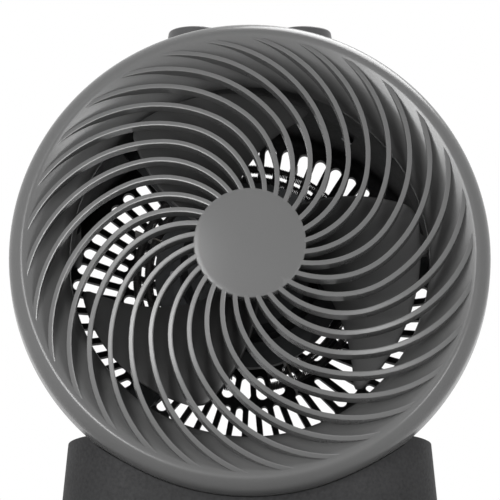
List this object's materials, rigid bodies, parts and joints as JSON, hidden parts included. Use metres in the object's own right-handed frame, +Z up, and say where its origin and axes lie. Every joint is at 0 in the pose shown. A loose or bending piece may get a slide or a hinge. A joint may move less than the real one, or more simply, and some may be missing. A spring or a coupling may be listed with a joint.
{
  "type": "fan heater",
  "caption": "Round fan heater with a domed spiral grille, a deep-bladed propeller, wound heating coils, a slotted back, top controls and a carry handle on a saddle base.",
  "frame": {"origin": "on the floor, under the middle of the heater's box", "axes": "+Z up, -Y out of the front grille, +X to the right as seen from the front"},
  "size_m": [0.262, 0.2214, 0.2801],
  "materials": {
    "grey_abs": "fine satin moulding",
    "charcoal_abs": "fine spark texture",
    "propeller_nylon": "smooth moulding",
    "knob_plastic": "satin",
    "switch_phenolic": "moulded",
    "amber_lens": "polished",
    "zinc_steel": "zinc plated",
    "bright_steel": "ground",
    "lamination_steel": "varnished stack",
    "copper_winding": "enamelled wire",
    "bronze_bush": "sintered",
    "mica": "pressed sheet",
    "resistance_wire": "oxidised",
    "rubber": "matt",
    "screw_steel": "plated"
  },
  "bodies": {
    "housing": {"hub_cap": "grey_abs", "front_grille": "grey_abs", "front_case": "charcoal_abs", "rear_case": "charcoal_abs", "air_duct": "charcoal_abs", "base_shell": "charcoal_abs", "base_plate": "charcoal_abs", "control_panel": "charcoal_abs", "carry_handle": "charcoal_abs", "heat_switch": "switch_phenolic", "thermostat_body": "switch_phenolic", "tip_switch": "switch_phenolic", "terminal_block": "switch_phenolic", "pilot_lens": "amber_lens", "motor_bracket": "zinc_steel", "heater_frame": "zinc_steel", "motor_front_shell": "zinc_steel", "motor_rear_shell": "zinc_steel", "thermal_cutout": "zinc_steel", "stator_core": "lamination_steel", "stator_windings": "copper_winding", "front_bearing": "bronze_bush", "rear_bearing": "bronze_bush", "mica_boards": "mica", "outer_heating_coil": "resistance_wire", "inner_heating_coil": "resistance_wire", "thermal_fuse": "resistance_wire", "rubber_feet": "rubber", "cord_gland": "rubber", "case_screws": "screw_steel", "bracket_screws": "screw_steel", "handle_screws": "screw_steel", "base_screws": "screw_steel", "base_plate_screws": "screw_steel", "motor_screws": "screw_steel", "heater_screws": "screw_steel"},
    "fan": {"propeller": "propeller_nylon", "propeller_nut": "zinc_steel", "motor_shaft": "bright_steel", "rotor_core": "lamination_steel"},
    "heat_selector": {"heat_knob": "knob_plastic", "heat_spindle": "bright_steel"},
    "thermostat_dial": {"thermostat_knob": "knob_plastic", "thermostat_spindle": "bright_steel"},
    "tip_over_plunger": {"tip_plunger": "switch_phenolic"}
  },
  "joints": [
    {"name": "fan_spin", "type": "hinge", "parent": "housing", "child": "fan", "pos_m": [0, -0.07917, 0.15973], "axis": [0, -0.9722, 0.2343], "continuous": true},
    {"name": "heat_turn", "type": "hinge", "parent": "housing", "child": "heat_selector", "pos_m": [-0.03, 0.01816, 0.26485], "axis": [0, 0.2343, 0.9722], "range_deg": [-135, 0]},
    {"name": "thermostat_turn", "type": "hinge", "parent": "housing", "child": "thermostat_dial", "pos_m": [0.03, 0.01816, 0.26485], "axis": [0, 0.2343, 0.9722], "range_deg": [-270, 0]},
    {"name": "tip_plunger_drop", "type": "slide", "parent": "housing", "child": "tip_over_plunger", "axis": [0, 0, -1], "range_m": [0, 0.004], "stiffness_N_per_m": 30, "springref_m": 0.004}
  ]
}
